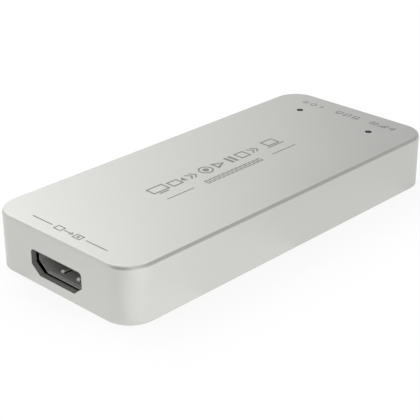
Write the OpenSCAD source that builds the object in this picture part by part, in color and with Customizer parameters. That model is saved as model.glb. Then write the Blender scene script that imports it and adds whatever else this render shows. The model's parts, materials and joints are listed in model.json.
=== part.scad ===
// Video capture box: an aluminium shell with a screwed bottom cover around one circuit board,
// a video receptacle behind the front end and a slim data receptacle behind the rear end.
// X runs across the width, +Y towards the rear end and +Z up. The origin is under the middle.

/* [Case] */
// Width of the case
case_w = 41; // [40:0.5:50]
// Length of the case
case_l = 94.3; // [90:0.1:112]
// Height of the case
case_h = 12.35; // [12:0.05:16]
// Radius of the upright corners
corner_r = 6; // [4.5:0.25:8]
// Thickness of the side and end walls
wall = 1.3; // [1.1:0.05:1.8]
// Thickness of the top
top_t = 1.5; // [1.2:0.05:2.2]
// Inset of the bevel along the top edge
bevel_in = 0.3; // [0.1:0.05:0.6]
// Height of the bevel along the top edge
bevel_h = 0.65; // [0.2:0.05:1]

/* [Bottom cover] */
// Thickness of the bottom cover
cover_t = 1.2; // [1.15:0.05:1.6]
// Width of the ledge that the cover rests on
ledge_w = 0.5; // [0.3:0.05:0.6]
// Gap around the cover
cover_gap = 0.1; // [0.05:0.01:0.2]
// Distance of the cover screws from the sides and ends
boss_inset = 5.2; // [4.6:0.1:5.8]
// Width of the corner pillars that take the cover screws
boss_d = 4.6; // [4:0.1:5]
// Thickness of the insulating sheet on the cover
sheet_t = 0.2; // [0.1:0.05:0.4]

/* [Screws] */
// Diameter of the screw shanks
screw_d = 2; // [1.8:0.05:2.2]
// Diameter of the countersunk heads
csk_head_d = 3.8; // [3.4:0.1:4]
// Depth of the countersunk heads below the cover's face
csk_sink = 0.1; // [0.05:0.01:0.15]
// Length of the cover screws
cover_screw_l = 5; // [4:0.1:6]
// Diameter of the pan heads
pan_head_d = 3.6; // [3.2:0.1:4]
// Height of the pan heads
pan_head_h = 1.1; // [0.8:0.1:1.3]
// Length of the board screws below their heads
board_screw_l = 4; // [3:0.1:4.5]
// Spare depth of a screw hole past the screw's end
hole_spare = 0.6; // [0.3:0.1:1]
// Width of a cross recess in a screw head
recess_w = 0.5; // [0.3:0.05:0.6]
// Span of a cross recess in a screw head
recess_span = 1.9; // [1.5:0.1:2.2]
// Depth of a cross recess in a screw head
recess_depth = 0.55; // [0.3:0.05:0.6]

/* [Circuit board] */
// Thickness of the circuit board
board_t = 1.2; // [0.8:0.1:1.6]
// Gap between the insulating sheet and the board
board_lift = 2; // [1.9:0.1:2.5]
// Gap between the board's edge and the walls
board_gap = 0.5; // [0.3:0.05:0.8]
// Diameter of the standoffs that carry the board
standoff_d = 4.4; // [4:0.1:5]
// Distance of the board screws from the sides
standoff_from_side = 5.4; // [4.6:0.1:6]
// Distance of the board screws from the ends
standoff_from_end = 14.5; // [13:0.1:16]

/* [Fits] */
// Gap of a piece that is pressed or set into another
fit_gap = 0.05; // [0.02:0.01:0.1]
// Gap of a screw or a leg in its board hole
hole_gap = 0.15; // [0.1:0.01:0.25]

/* [Video port] */
// Sideways place of the port
video_x = -0.25; // [-0.5:0.05:0.5]
// Width of the receptacle's opening
video_w = 14; // [13:0.1:15]
// Height of the receptacle's opening
video_h = 4.55; // [4.4:0.05:5]
// Sideways run of the slanted lower corners
video_slant_run = 2.35; // [1.5:0.05:3]
// Rise of the slanted lower corners
video_slant_rise = 1.9; // [1.2:0.05:2.1]
// Radius of the upper corners
video_r = 0.5; // [0.3:0.05:0.8]
// Thickness of the receptacle's sheet metal
video_sheet = 0.3; // [0.2:0.05:0.4]
// Height of the receptacle's axis over the board
video_axis_lift = 0.25; // [0.1:0.05:0.5]
// Gap between the end wall and the receptacle
video_recess = 0.4; // [0.3:0.05:0.8]
// Length of the receptacle's shell
video_l = 11.2; // [10.5:0.1:12]
// Length of the moulded block at the back of the receptacle
video_block_l = 1.9; // [1.5:0.1:2.5]
// Sideways gap from the opening to the cut-out in the case
video_cut_side = 0.55; // [0.45:0.05:0.8]
// Upright gap from the opening to the cut-out in the case
video_cut_height = 0.38; // [0.3:0.02:0.5]
// Wall of the liner in the cut-out
bezel_wall = 0.15; // [0.15:0.05:0.25]
// Depth of the liner's flange below the inner face of the end wall
bezel_sink = 0.2; // [0.05:0.05:0.3]
// Width of the liner's flange behind the end wall
flange_w = 0.5; // [0.3:0.05:0.6]
// Thickness of the liner's flange
flange_t = 0.4; // [0.3:0.05:0.6]

/* [Video port insides] */
// Width of the contact tongue
tongue_w = 11.2; // [10.5:0.1:11.8]
// Thickness of the contact tongue
tongue_t = 1.1; // [0.9:0.05:1.2]
// Height of the tongue over the receptacle's axis
tongue_lift = 0.1; // [0:0.05:0.3]
// Setback of the tongue from the receptacle's front
tongue_setback = 2.5; // [1.5:0.1:3]
// Sideways place of the spring fingers
spring_x = 2.4; // [2.2:0.1:3.2]
// Width of a spring finger
spring_w = 0.9; // [0.7:0.1:1.6]
// Slot beside a spring finger
spring_slot = 0.2; // [0.15:0.05:0.4]
// Setback of a finger's tip from the receptacle's front
spring_setback = 1.55; // [1:0.05:2.5]
// Length of a finger's lead-in ramp
spring_ramp = 0.5; // [0.4:0.05:1.2]
// Length of a spring finger
spring_l = 6; // [4.5:0.1:6.5]
// Height that a spring finger stands into the opening
spring_lift = 0.5; // [0.3:0.05:0.6]
// Width of a video contact
video_contact_w = 0.35; // [0.25:0.05:0.4]
// Thickness of the contacts
contact_t = 0.15; // [0.1:0.01:0.2]
// Spacing of the contacts in one row
video_pitch = 1; // [0.95:0.01:1.05]
// Setback of the contacts' ends from the tongues' fronts
contact_setback = 0.5; // [0.3:0.05:0.8]
// Length of the contact feet on the board
foot_l = 1; // [0.7:0.1:1.2]
// Gap between a receptacle's back and its bent contacts
riser_gap = 0.1; // [0.05:0.01:0.15]
// Gap between the video receptacle's back and the board's notch
notch_gap = 0.5; // [0.45:0.05:0.8]
// Contacts on top of the video tongue
video_upper_n = 10; // [8:1:10]
// Contacts under the video tongue
video_lower_n = 9; // [7:1:9]

/* [Receptacle legs] */
// Reach of a mounting leg beside a receptacle
leg_reach = 1.4; // [1:0.1:1.8]
// Width of a mounting leg
leg_w = 1.2; // [0.8:0.1:1.6]
// Length of a leg's pin below the board
leg_pin = 0.4; // [0.2:0.1:0.6]
// Distance of the video receptacle's legs from its ends
leg_from_end = 2.4; // [1.5:0.1:3.5]

/* [Data port] */
// Width of the main lobe of the opening
data_main_w = 6.9; // [6.6:0.1:7.2]
// Width of the side lobe of the opening
data_side_w = 3.9; // [3.6:0.1:4.2]
// Gap between the lobes
data_rib = 1.4; // [1.2:0.1:1.6]
// Height of the opening
data_h = 1.85; // [1.7:0.05:2]
// Height of the neck that joins the lobes
data_neck = 0.8; // [0.6:0.05:1]
// Slant of the lobes' lower corners
data_slant = 0.6; // [0.4:0.05:0.8]
// Radius of the lobes' upper corners
data_r = 0.25; // [0.15:0.05:0.4]
// Thickness of the receptacle's sheet metal
data_sheet = 0.25; // [0.2:0.05:0.3]
// Gap between the end wall and the receptacle
data_recess = 0.25; // [0.15:0.05:0.5]
// Length of the receptacle's shell
data_l = 5; // [4.6:0.1:5.4]
// Length of the moulded block at the back of the receptacle
data_block_l = 1.2; // [1:0.1:1.6]
// Gap from the opening to the cut-out in the case
data_cut = 0.6; // [0.5:0.05:0.9]
// Radius of the cut-out's corners
data_cut_r = 0.9; // [0.4:0.1:1.2]
// Thickness of the data tongues
data_tongue_t = 0.6; // [0.5:0.05:0.7]
// Setback of the data tongues from the receptacle's front
data_setback = 0.9; // [0.6:0.1:1.2]
// Width of a data contact
data_contact_w = 0.3; // [0.2:0.05:0.35]
// Spacing of the data contacts
data_pitch = 0.65; // [0.6:0.01:0.7]
// Contacts in each lobe
data_row_n = 5; // [4:1:5]
// Width that a data tongue leaves free in its lobe
data_tongue_free = 1.2; // [0.8:0.1:1.4]

/* [Lamps] */
// Sideways place of the lamps
lamp_x = 10.3; // [9.5:0.1:11.5]
// Distance of the lamps from the rear end
lamp_from_rear = 9.7; // [9:0.1:11]
// Diameter of the lamp holes in the top
lamp_hole_d = 1.6; // [1:0.1:2]
// Depth of a light pipe's end below the top face
lamp_sink = 0.05; // [0.05:0.05:0.3]
// Diameter of a light pipe's shoulder
pipe_shoulder_d = 2.8; // [2.5:0.1:3.5]
// Thickness of a light pipe's shoulder
pipe_shoulder_t = 0.7; // [0.5:0.05:0.8]
// Diameter of a light pipe's rod
pipe_rod_d = 2; // [1.6:0.1:2.2]
// Gap between a light pipe and its lamp
lamp_gap = 0.3; // [0.2:0.05:0.5]
// Length of a lamp's body
lamp_l = 1.6; // [1.4:0.1:2]
// Width of a lamp's body
lamp_w = 0.8; // [0.6:0.1:1.2]
// Height of a lamp's body
lamp_h = 0.6; // [0.4:0.05:0.8]

/* [Chips] */
// Side of the video processor
processor_w = 15; // [13:0.5:15.5]
// Height of the video processor
processor_h = 1.4; // [1:0.1:1.8]
// Thickness of the processor's carrier
carrier_t = 0.5; // [0.3:0.05:0.7]
// Border of the carrier around its moulded cap
carrier_rim = 1; // [0.6:0.1:1.5]
// Place of the video processor along the case
processor_y = 2; // [1:0.1:3]
// Side of the video receiver's body
receiver_w = 14; // [12:0.5:14]
// Height of the video receiver
receiver_h = 1.1; // [0.9:0.1:1.4]
// Distance of the video receiver from the front end
receiver_from_front = 25.6; // [25.5:0.1:26]
// Leads on each side of the video receiver
receiver_leads_n = 16; // [12:1:16]
// Spacing of the video receiver's leads
receiver_pitch = 0.8; // [0.65:0.05:0.8]
// Side of the data controller
controller_w = 10; // [8:0.5:10]
// Height of the data controller
controller_h = 1.2; // [0.9:0.1:1.5]
// Distance of the data controller from the rear end
controller_from_rear = 20; // [19:0.1:20.5]
// Width of a memory chip
memory_w = 7.5; // [7:0.5:8]
// Length of a memory chip
memory_l = 11; // [10:0.5:12]
// Height of a memory chip
memory_h = 1; // [0.8:0.1:1.2]
// Gap between the processor and the memory chips
memory_gap = 0.8; // [0.6:0.1:1.2]
// Width of the flash chip's body
flash_w = 4; // [3.8:0.1:4.4]
// Length of the flash chip's body
flash_l = 5; // [4.6:0.1:5.4]
// Height of the flash chip
flash_h = 1.5; // [1.2:0.1:1.8]
// Spacing of the flash chip's leads
flash_pitch = 1.27; // [1.1:0.01:1.3]
// Distance of the flash chip and the first crystal from the sides
flash_from_side = 6.1; // [5.6:0.1:6.5]
// Slope of a moulded package's sides
mould_draft = 0.12; // [0.05:0.01:0.2]
// Reach of a bent chip lead
lead_run = 1.05; // [0.8:0.05:1.1]
// Thickness of a bent chip lead
lead_t = 0.15; // [0.1:0.01:0.2]
// Width of a bent chip lead
lead_w = 0.35; // [0.25:0.05:0.45]
// Leads on each side of the flash chip
flash_leads_n = 4; // [3:1:4]

/* [Thermal pads] */
// Side of the processor's thermal pad
processor_pad_w = 12; // [9:0.5:12.5]
// Side of the receiver's thermal pad
receiver_pad_w = 10; // [8:0.5:11]
// Thickness of the thermal pads
pad_t = 0.8; // [0.5:0.1:1.2]
// Corner radius of the thermal pads
pad_r = 1; // [0.5:0.1:2]

/* [Power pieces] */
// Side of a power inductor
inductor_w = 4.5; // [4:0.1:5]
// Height of a power inductor
inductor_h = 2.2; // [1.5:0.1:3]
// Distance of the power inductors from the sides
inductor_from_side = 7.5; // [7:0.1:8]
// Distance of the power row behind the processor
power_row = 8.3; // [8:0.1:8.6]
// Thickness of the inductor terminals
terminal_t = 0.15; // [0.1:0.01:0.2]
// Length of a regulator's body
regulator_l = 2.9; // [2.6:0.1:3.2]
// Width of a regulator's body
regulator_w = 1.6; // [1.4:0.1:1.8]
// Height of a regulator
regulator_h = 1.1; // [0.8:0.1:1.3]
// Gap between a regulator and its inductor
regulator_gap = 1; // [0.8:0.1:1.3]
// Spacing of the regulators' leads
regulator_pitch = 0.95; // [0.8:0.01:1]
// Leads on each side of a regulator
regulator_leads_n = 3; // [2:1:3]
// Length of a tantalum capacitor
tantalum_l = 3.5; // [3:0.1:3.8]
// Width of a tantalum capacitor
tantalum_w = 2.8; // [2.2:0.1:3]
// Height of a tantalum capacitor
tantalum_h = 1.9; // [1.5:0.1:2.2]

/* [Small pieces] */
// Length of a ceramic capacitor
capacitor_l = 1.6; // [1.2:0.1:1.8]
// Width of a ceramic capacitor
capacitor_w = 0.8; // [0.6:0.1:1]
// Height of a ceramic capacitor
capacitor_h = 0.8; // [0.5:0.1:1]
// Length of a chip resistor
resistor_l = 1; // [0.8:0.1:1.2]
// Width of a chip resistor
resistor_w = 0.5; // [0.4:0.05:0.7]
// Height of a chip resistor
resistor_h = 0.35; // [0.25:0.05:0.5]
// Spacing of the small pieces in a row
small_pitch = 2.4; // [2.2:0.1:2.5]
// Length of a crystal
crystal_l = 5; // [4.5:0.1:5.2]
// Width of a crystal
crystal_w = 3.2; // [2.5:0.1:3.4]
// Corner radius of a crystal's can
crystal_r = 0.5; // [0.3:0.1:0.8]
// Height of a crystal
crystal_h = 0.9; // [0.7:0.1:1.2]
// Length of a surge array
esd_l = 2.5; // [2.2:0.1:2.6]
// Width of a surge array
esd_w = 1; // [0.8:0.05:1.1]
// Height of a surge array
esd_h = 0.55; // [0.4:0.05:0.7]
// Surge arrays in their row
esd_n = 4; // [3:1:4]
// Gap between the surge arrays
esd_gap = 0.4; // [0.3:0.05:0.6]
// Gap that small pieces keep from their neighbours
small_gap = 1.2; // [1:0.05:1.3]
// Rise of the end caps over a small piece's body
cap_rise = 0.05; // [0.03:0.01:0.08]
// Length of an end cap on a small piece
cap_l = 0.25; // [0.15:0.05:0.3]

/* [Hidden] */
$fn = 64;

// Overshoot of a cutting tool past the face that it opens
over = 0.5;

// Case and cover
ceiling = case_h - top_t;
inner_w = case_w - 2 * wall;
inner_l = case_l - 2 * wall;
inner_r = corner_r - wall;
rim = wall - ledge_w;
boss_x = case_w / 2 - boss_inset;
boss_y = case_l / 2 - boss_inset;
sheet_top = cover_t + sheet_t;

// Board
board_z = sheet_top + board_lift;
board_top = board_z + board_t;
board_w = inner_w - 2 * board_gap;
board_l = inner_l - 2 * board_gap;
standoff_x = case_w / 2 - standoff_from_side;
standoff_y = case_l / 2 - standoff_from_end;

// Video port, with its mouth at the front end
video_axis = board_top + video_axis_lift;
video_front = wall + video_recess - case_l / 2;
video_back = video_front + video_l;
video_block = video_back - video_block_l;
video_cut_w = video_w + 2 * video_cut_side;
video_cut_h = video_h + 2 * video_cut_height;
video_cut_r = video_r + video_cut_height;
bezel_inside = wall - bezel_sink - case_l / 2;
video_notch_back = video_back + notch_gap;
tongue_front = video_front + tongue_setback;
contact_start = tongue_front + contact_setback;
tongue_bottom = video_axis + tongue_lift - tongue_t / 2;
tongue_top = tongue_bottom + tongue_t;
spring_tip = video_front + spring_setback;
spring_root = spring_tip + spring_l;
video_legs = [video_front + leg_from_end, video_back - leg_from_end];
feet_end = video_notch_back + foot_l;

// Data port, with its mouth at the rear end
data_w = data_main_w + data_rib + data_side_w;
data_axis = board_top + data_sheet + data_h / 2;
data_front = case_l / 2 - wall - data_recess;
data_back = data_front - data_l;
data_block = data_back + data_block_l;
data_main_x = (data_main_w - data_w) / 2;
data_side_x = (data_w - data_side_w) / 2;
data_leg_y = data_front - data_l / 2;
data_tongue_front = data_front - data_setback;
data_contact_top = data_axis - contact_t;
data_lobes = [[data_main_x, data_main_w], [data_side_x, data_side_w]];

// Lamps
lamp_y = case_l / 2 - lamp_from_rear;
pipe_bottom = board_top + lamp_h + lamp_gap;

// Chips and other pieces on the board
receiver_y = receiver_from_front - case_l / 2;
controller_y = case_l / 2 - controller_from_rear;
processor_top = board_top + processor_h;
receiver_top = board_top + receiver_h;
processor_back = processor_y + processor_w / 2;
processor_front = processor_y - processor_w / 2;
memory_x = (processor_w + memory_w) / 2 + memory_gap;
inductor_x = case_w / 2 - inductor_from_side;
regulator_x = inductor_x - (inductor_w + regulator_l) / 2 - regulator_gap;
power_y = processor_back + power_row;
esd_y = feet_end + small_gap + esd_w / 2;
decouple_y = processor_back + small_gap + capacitor_w / 2;
tantalum_y = processor_back + small_gap + tantalum_w / 2;
flash_y = processor_front - small_gap - flash_w / 2;
flash_x = case_w / 2 - flash_from_side;
resistor_y = receiver_y + receiver_w / 2 + lead_run + small_gap + resistor_w / 2;
receiver_caps_x = receiver_w / 2 + lead_run + small_gap + capacitor_l / 2;
data_caps_y = data_back - foot_l - small_gap - capacitor_l / 2;
clock_x = controller_w / 2 + small_gap + crystal_l / 2;

// Shared shapes

// Rectangle with round corners
module rounded_rect(w, l, r) {
    square([w - 2 * r, l], center = true);
    square([w, l - 2 * r], center = true);
    for (sx = [-1, 1], sy = [-1, 1])
        translate([sx * (w / 2 - r), sy * (l / 2 - r)]) circle(r);
}

// Receptacle outline with slanted lower corners and round upper ones, grown outwards by a wall
module port_outline(w, h, run, rise, r, grow = 0) {
    slant = atan2(rise, run);
    half = w / 2 + grow;
    top = h / 2 + grow;
    flat = w / 2 - run + grow * tan(slant / 2);
    shoulder = rise - h / 2 - grow * tan(45 - slant / 2);
    arc = r + grow;
    polygon([[-flat, -top], [flat, -top], [half, shoulder], [half, top - arc], [half - arc, top],
        [arc - half, top], [-half, top - arc], [-half, shoulder]]);
    for (s = [-1, 1]) translate([s * (half - arc), top - arc]) circle(arc);
}

// Outline drawn in X and Z, pushed along Y from one place to another
module along_y(from, to) {
    translate([0, to, 0]) rotate([90, 0, 0]) linear_extrude(to - from) children();
}

// Outline drawn in Y and Z, pushed along X from one place to another
module along_x(from, to) {
    translate([from, 0, 0]) rotate([90, 0, 90]) linear_extrude(to - from) children();
}

// Copies in the four corners, mirrored into each
module at_corners(x, y) {
    for (mx = [0, 1], my = [0, 1]) mirror([mx, 0, 0]) mirror([0, my, 0]) translate([x, y, 0]) children();
}

// Copies on the left and the right
module on_both_sides(x, y, z) {
    for (s = [-1, 1]) translate([s * x, y, z]) children();
}

// Row of copies along X, centred
module row_x(n, pitch) {
    for (i = [0 : n - 1]) translate([(i - (n - 1) / 2) * pitch, 0, 0]) children();
}

// Block with its base at zero, centred across
module block(w, l, h) {
    translate([-w / 2, -l / 2, 0]) cube([w, l, h]);
}

// Moulded package with sides that slope in towards the top
module moulded(w, l, h) {
    intersection() {
        along_x(-w / 2, w / 2) mould_section(l, h);
        along_y(-l / 2, l / 2) mould_section(w, h);
    }
}

// Section of a moulded package
module mould_section(w, h) {
    half = w / 2;
    polygon([[-half, 0], [half, 0], [half - mould_draft, h], [mould_draft - half, h]]);
}

// Small two-ended piece with raised end caps
module end_capped(l, w, h) {
    block(l, w, h - cap_rise);
    for (s = [-1, 1]) translate([s * (l - cap_l) / 2, 0, 0]) block(cap_l, w, h);
}

// Bent lead that leaves a package at a height, steps down and ends in a foot, pointing along Y
module gull_lead(height) {
    shelf = lead_run * 0.35;
    foot = lead_run * 0.55;
    along_x(-lead_w / 2, lead_w / 2)
        polygon([[0, height], [shelf, height], [foot, 0], [lead_run, 0], [lead_run, lead_t],
            [foot + lead_t, lead_t], [shelf + lead_t, height + lead_t], [0, height + lead_t]]);
}

// Rows of leads along the two ends of a package
module lead_rows(n, pitch, edge, height) {
    for (turn = [0, 180]) rotate([0, 0, turn]) translate([0, edge, 0]) row_x(n, pitch) gull_lead(height);
}

// Cross recess for a screw head whose face looks down at height zero
module cross_recess() {
    for (turn = [0, 90]) rotate([0, 0, turn]) translate([0, 0, -over])
        block(recess_span, recess_w, recess_depth + over);
}

// Case

// Section of half the case: straight wall, bevel and flat top
module case_section(half) {
    polygon([[0, 0], [half, 0], [half, case_h - bevel_h], [half - bevel_in, case_h], [0, case_h]]);
}

// Straight run of the case between its corner posts
module case_run(half) {
    case_section(half);
    mirror([1, 0]) case_section(half);
}

// Outer form of the case
module case_form() {
    along_y(corner_r - case_l / 2, case_l / 2 - corner_r) case_run(case_w / 2);
    along_x(corner_r - case_w / 2, case_w / 2 - corner_r) case_run(case_l / 2);
    at_corners(case_w / 2 - corner_r, case_l / 2 - corner_r) rotate_extrude() case_section(corner_r);
}

// Plan of a corner pillar, joined to both walls
module pillar_plan() {
    circle(d = boss_d);
    translate([0, -boss_d / 2]) square([boss_inset, boss_d]);
    translate([-boss_d / 2, 0]) square([boss_d, boss_inset]);
}

// Hollow of the case around its pillars, standoffs and heat pedestals
module case_hollow() {
    difference() {
        translate([0, 0, cover_t / 2])
            linear_extrude(ceiling - cover_t / 2) rounded_rect(inner_w, inner_l, inner_r);
        at_corners(boss_x, boss_y) linear_extrude(case_h) pillar_plan();
        at_corners(standoff_x, standoff_y) translate([0, 0, board_top]) cylinder(h = case_h, d = standoff_d);
        pedestal(processor_y, processor_top, processor_pad_w);
        pedestal(receiver_y, receiver_top, receiver_pad_w);
    }
}

// Heat pedestal that comes down to the pad on a chip
module pedestal(y, chip_top, w) {
    translate([0, y, chip_top + pad_t]) linear_extrude(case_h) rounded_rect(w, w, pad_r);
}

module case_shell() {
    color("gainsboro") difference() {
        case_form();
        case_hollow();
        translate([0, 0, -over])
            linear_extrude(cover_t + over) rounded_rect(case_w - 2 * rim, case_l - 2 * rim, corner_r - rim);
        at_corners(boss_x, boss_y) cylinder(h = csk_sink + cover_screw_l + hole_spare, d = screw_d);
        at_corners(standoff_x, standoff_y) translate([0, 0, board_z])
            cylinder(h = board_screw_l + hole_spare, d = screw_d);
        on_both_sides(lamp_x, lamp_y, ceiling - over) {
            cylinder(h = top_t + 2 * over, d = lamp_hole_d);
            cylinder(h = pipe_shoulder_t + over, d = pipe_shoulder_d);
        }
        translate([video_x, 0, video_axis]) {
            along_y(-case_l / 2 - over, wall + over - case_l / 2) video_cut();
            along_y(bezel_inside - flange_t, wall + over - case_l / 2) video_cut(flange_w);
        }
        translate([0, 0, data_axis]) along_y(case_l / 2 - wall - over, case_l / 2 + over)
            rounded_rect(data_w + 2 * data_cut, data_h + 2 * data_cut, data_cut_r);
    }
}

module bottom_cover() {
    w = case_w - 2 * (rim + cover_gap);
    l = case_l - 2 * (rim + cover_gap);
    neck_d = screw_d + 2 * fit_gap;
    mouth_d = csk_head_d + 2 * fit_gap;
    cone_h = (mouth_d - neck_d) / 2;
    color("silver") difference() {
        linear_extrude(cover_t) rounded_rect(w, l, corner_r - rim - cover_gap);
        at_corners(boss_x, boss_y) rotate_extrude()
            polygon([[0, -over], [mouth_d / 2, -over], [mouth_d / 2, csk_sink],
                [neck_d / 2, csk_sink + cone_h], [neck_d / 2, cover_t + over], [0, cover_t + over]]);
    }
}

module cover_screws() {
    cone_h = (csk_head_d - screw_d) / 2;
    shank_r = screw_d / 2 - fit_gap / 2;
    color("dimgray") at_corners(boss_x, boss_y) translate([0, 0, csk_sink]) difference() {
        rotate_extrude() polygon([[0, 0], [csk_head_d / 2, 0], [shank_r, cone_h],
            [shank_r, cover_screw_l], [0, cover_screw_l]]);
        cross_recess();
    }
}

module insulating_sheet() {
    color("black") translate([0, 0, cover_t]) linear_extrude(sheet_t) difference() {
        rounded_rect(inner_w - 2 * board_gap, inner_l - 2 * board_gap, inner_r - board_gap);
        board_corners();
    }
}

// Board and its screws

// Corner notches that clear the pillars
module board_corners() {
    side = boss_inset + boss_d / 2 + board_gap;
    at_corners(case_w / 2, case_l / 2) square(2 * side, center = true);
}

module main_board() {
    notch_w = video_w + 2 * (video_sheet + hole_gap);
    color("darkslategray") translate([0, 0, board_z]) difference() {
        linear_extrude(board_t) difference() {
            rounded_rect(board_w, board_l, inner_r - board_gap);
            board_corners();
            translate([video_x - notch_w / 2, -case_l / 2])
                square([notch_w, video_notch_back + case_l / 2]);
        }
        at_corners(standoff_x, standoff_y) translate([0, 0, -over])
            cylinder(h = board_t + 2 * over, d = screw_d + 2 * hole_gap);
        for (y = video_legs) translate([video_x, 0, 0]) leg_slots(video_w / 2 + video_sheet, video_sheet, y);
        leg_slots(data_w / 2 + data_sheet, data_sheet, data_leg_y);
    }
}

module board_screws() {
    shank_r = screw_d / 2 - fit_gap / 2;
    edge = pan_head_h / 4;
    head_r = pan_head_d / 2;
    end = pan_head_h + board_screw_l;
    color("dimgray") at_corners(standoff_x, standoff_y) translate([0, 0, board_z - pan_head_h]) difference() {
        rotate_extrude() polygon([[0, 0], [head_r - edge, 0], [head_r, edge], [head_r, pan_head_h],
            [shank_r, pan_head_h], [shank_r, end], [0, end]]);
        cross_recess();
    }
}

// Receptacle legs

// Pair of legs that leave a shell's sides at a height and turn down through the board
module legs(side, sheet, y, height) {
    root = side - sheet / 2;
    end = side + leg_reach;
    tip = board_z - leg_pin;
    for (turn = [0, 1]) mirror([turn, 0, 0]) along_y(y - leg_w / 2, y + leg_w / 2)
        polygon([[root, height], [end - sheet, height], [end - sheet, tip], [end, tip],
            [end, height + sheet], [root, height + sheet]]);
}

// Board slots for a pair of legs
module leg_slots(side, sheet, y) {
    on_both_sides(side + leg_reach - sheet / 2, y, -over)
        block(sheet + 2 * hole_gap, leg_w + 2 * hole_gap, board_t + 2 * over);
}

// Video port

// Outline of the cut-out in the case, grown outwards
module video_cut(grow = 0) {
    port_outline(video_cut_w, video_cut_h, video_slant_run, video_slant_rise, video_cut_r, grow);
}

// Outline of the receptacle's opening, grown outwards
module video_opening(grow = 0) {
    port_outline(video_w, video_h, video_slant_run, video_slant_rise, video_r, grow);
}

module video_port_bezel() {
    face = -case_l / 2;
    color("dimgray") translate([video_x, 0, video_axis]) difference() {
        union() {
            along_y(face, bezel_inside) video_cut(-fit_gap);
            along_y(bezel_inside - flange_t + fit_gap, bezel_inside) video_cut(flange_w - fit_gap);
        }
        along_y(face - over, bezel_inside + over) video_cut(-bezel_wall - fit_gap);
    }
}

// Side view of a spring finger: root in the floor, long rise, crest and lead-in ramp
module spring_section() {
    floor_z = -video_h / 2;
    crest = spring_tip + spring_ramp;
    under = floor_z - video_sheet;
    polygon([[spring_root, under], [spring_root, floor_z], [crest, floor_z + spring_lift],
        [spring_tip, floor_z], [spring_tip, under], [crest, under + spring_lift]]);
}

// Window around a spring finger
module spring_window() {
    w = spring_w + 2 * spring_slot;
    translate([-w / 2, spring_tip - spring_slot, -video_h / 2 - video_sheet - over])
        cube([w, spring_l + spring_slot, video_sheet + 2 * over]);
}

module video_port_shell() {
    color("darkgray") translate([video_x, 0, 0]) {
        translate([0, 0, video_axis]) {
            difference() {
                along_y(video_front, video_back) video_opening(video_sheet);
                along_y(video_front - over, video_back + over) video_opening();
                for (flip = [0, 1]) mirror([0, 0, flip]) on_both_sides(spring_x, 0, 0) spring_window();
            }
            for (flip = [0, 1]) mirror([0, 0, flip]) on_both_sides(spring_x, 0, 0)
                along_x(-spring_w / 2, spring_w / 2) spring_section();
        }
        for (y = video_legs) legs(video_w / 2 + video_sheet, video_sheet, y, board_top);
    }
}

// Side view of a contact on top of the tongue, with its foot on the board
module upper_contact_section() {
    bend = video_back + riser_gap + contact_t;
    polygon([[contact_start, tongue_top], [bend, tongue_top], [bend, board_top], [feet_end, board_top],
        [feet_end, board_top + contact_t], [bend + contact_t, board_top + contact_t],
        [bend + contact_t, tongue_top + contact_t], [contact_start, tongue_top + contact_t]]);
}

// Side view of a contact under the tongue, with its foot on the board
module lower_contact_section() {
    bend = video_back + riser_gap;
    low = tongue_bottom - contact_t;
    polygon([[contact_start, low], [bend + contact_t, low], [bend + contact_t, board_top],
        [feet_end, board_top], [feet_end, board_top + contact_t],
        [bend, board_top + contact_t], [bend, tongue_bottom], [contact_start, tongue_bottom]]);
}

// Contact slots through the moulded block
module video_contact_slots() {
    w = video_contact_w + 2 * fit_gap;
    h = contact_t + fit_gap;
    for (row = [[video_upper_n, tongue_top], [video_lower_n, tongue_bottom - h]])
        translate([0, video_block - over, row[1]]) row_x(row[0], video_pitch)
            translate([-w / 2, 0, 0]) cube([w, video_block_l + 2 * over, h]);
}

module video_port_insulator() {
    color("black") translate([video_x, 0, 0]) difference() {
        union() {
            translate([0, 0, video_axis]) along_y(video_block, video_back) video_opening(-fit_gap);
            translate([-tongue_w / 2, tongue_front, tongue_bottom])
                cube([tongue_w, video_block - tongue_front + over, tongue_t]);
        }
        video_contact_slots();
    }
}

module video_port_contacts() {
    half = video_contact_w / 2;
    color("gold") translate([video_x, 0, 0]) {
        row_x(video_upper_n, video_pitch) along_x(-half, half) upper_contact_section();
        row_x(video_lower_n, video_pitch) along_x(-half, half) lower_contact_section();
    }
}

// Data port

// Outline of the two-lobed opening seen from inside, grown outwards
module data_opening(grow = 0) {
    translate([data_main_x, 0])
        port_outline(data_main_w, data_h, data_slant, data_slant, data_r, grow);
    translate([data_side_x, 0])
        port_outline(data_side_w, data_h, data_slant / 2, data_slant / 2, data_r, grow);
    translate([data_main_x, data_h / 2 - data_neck - grow])
        square([data_side_x - data_main_x, data_neck + 2 * grow]);
}

module data_port_shell() {
    color("lightsteelblue") {
        translate([0, 0, data_axis]) difference() {
            along_y(data_back, data_front) data_opening(data_sheet);
            along_y(data_back - over, data_front + over) data_opening();
        }
        legs(data_w / 2 + data_sheet, data_sheet, data_leg_y, data_axis);
    }
}

// Side view of a data contact: under the tongue, through the block and down to the board
module data_contact_section() {
    start = data_tongue_front - contact_setback;
    bend = data_back - riser_gap;
    end = bend - foot_l;
    low = data_contact_top - contact_t;
    polygon([[start, data_contact_top], [bend - contact_t, data_contact_top],
        [bend - contact_t, board_top + contact_t], [end, board_top + contact_t], [end, board_top],
        [bend, board_top], [bend, low], [start, low]]);
}

module data_port_insulator() {
    slot_w = data_contact_w + 2 * fit_gap;
    slot_h = contact_t + fit_gap;
    color("black") difference() {
        union() {
            translate([0, 0, data_axis]) along_y(data_back, data_block) data_opening(-fit_gap);
            for (lobe = data_lobes) translate([lobe[0], 0, data_contact_top])
                along_y(data_block - over, data_tongue_front)
                    translate([0, data_tongue_t / 2])
                        square([lobe[1] - data_tongue_free, data_tongue_t], center = true);
        }
        for (lobe = data_lobes) translate([lobe[0], data_back - over, data_contact_top - slot_h])
            row_x(data_row_n, data_pitch) translate([-slot_w / 2, 0, 0])
                cube([slot_w, data_block_l + 2 * over, slot_h]);
    }
}

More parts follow.
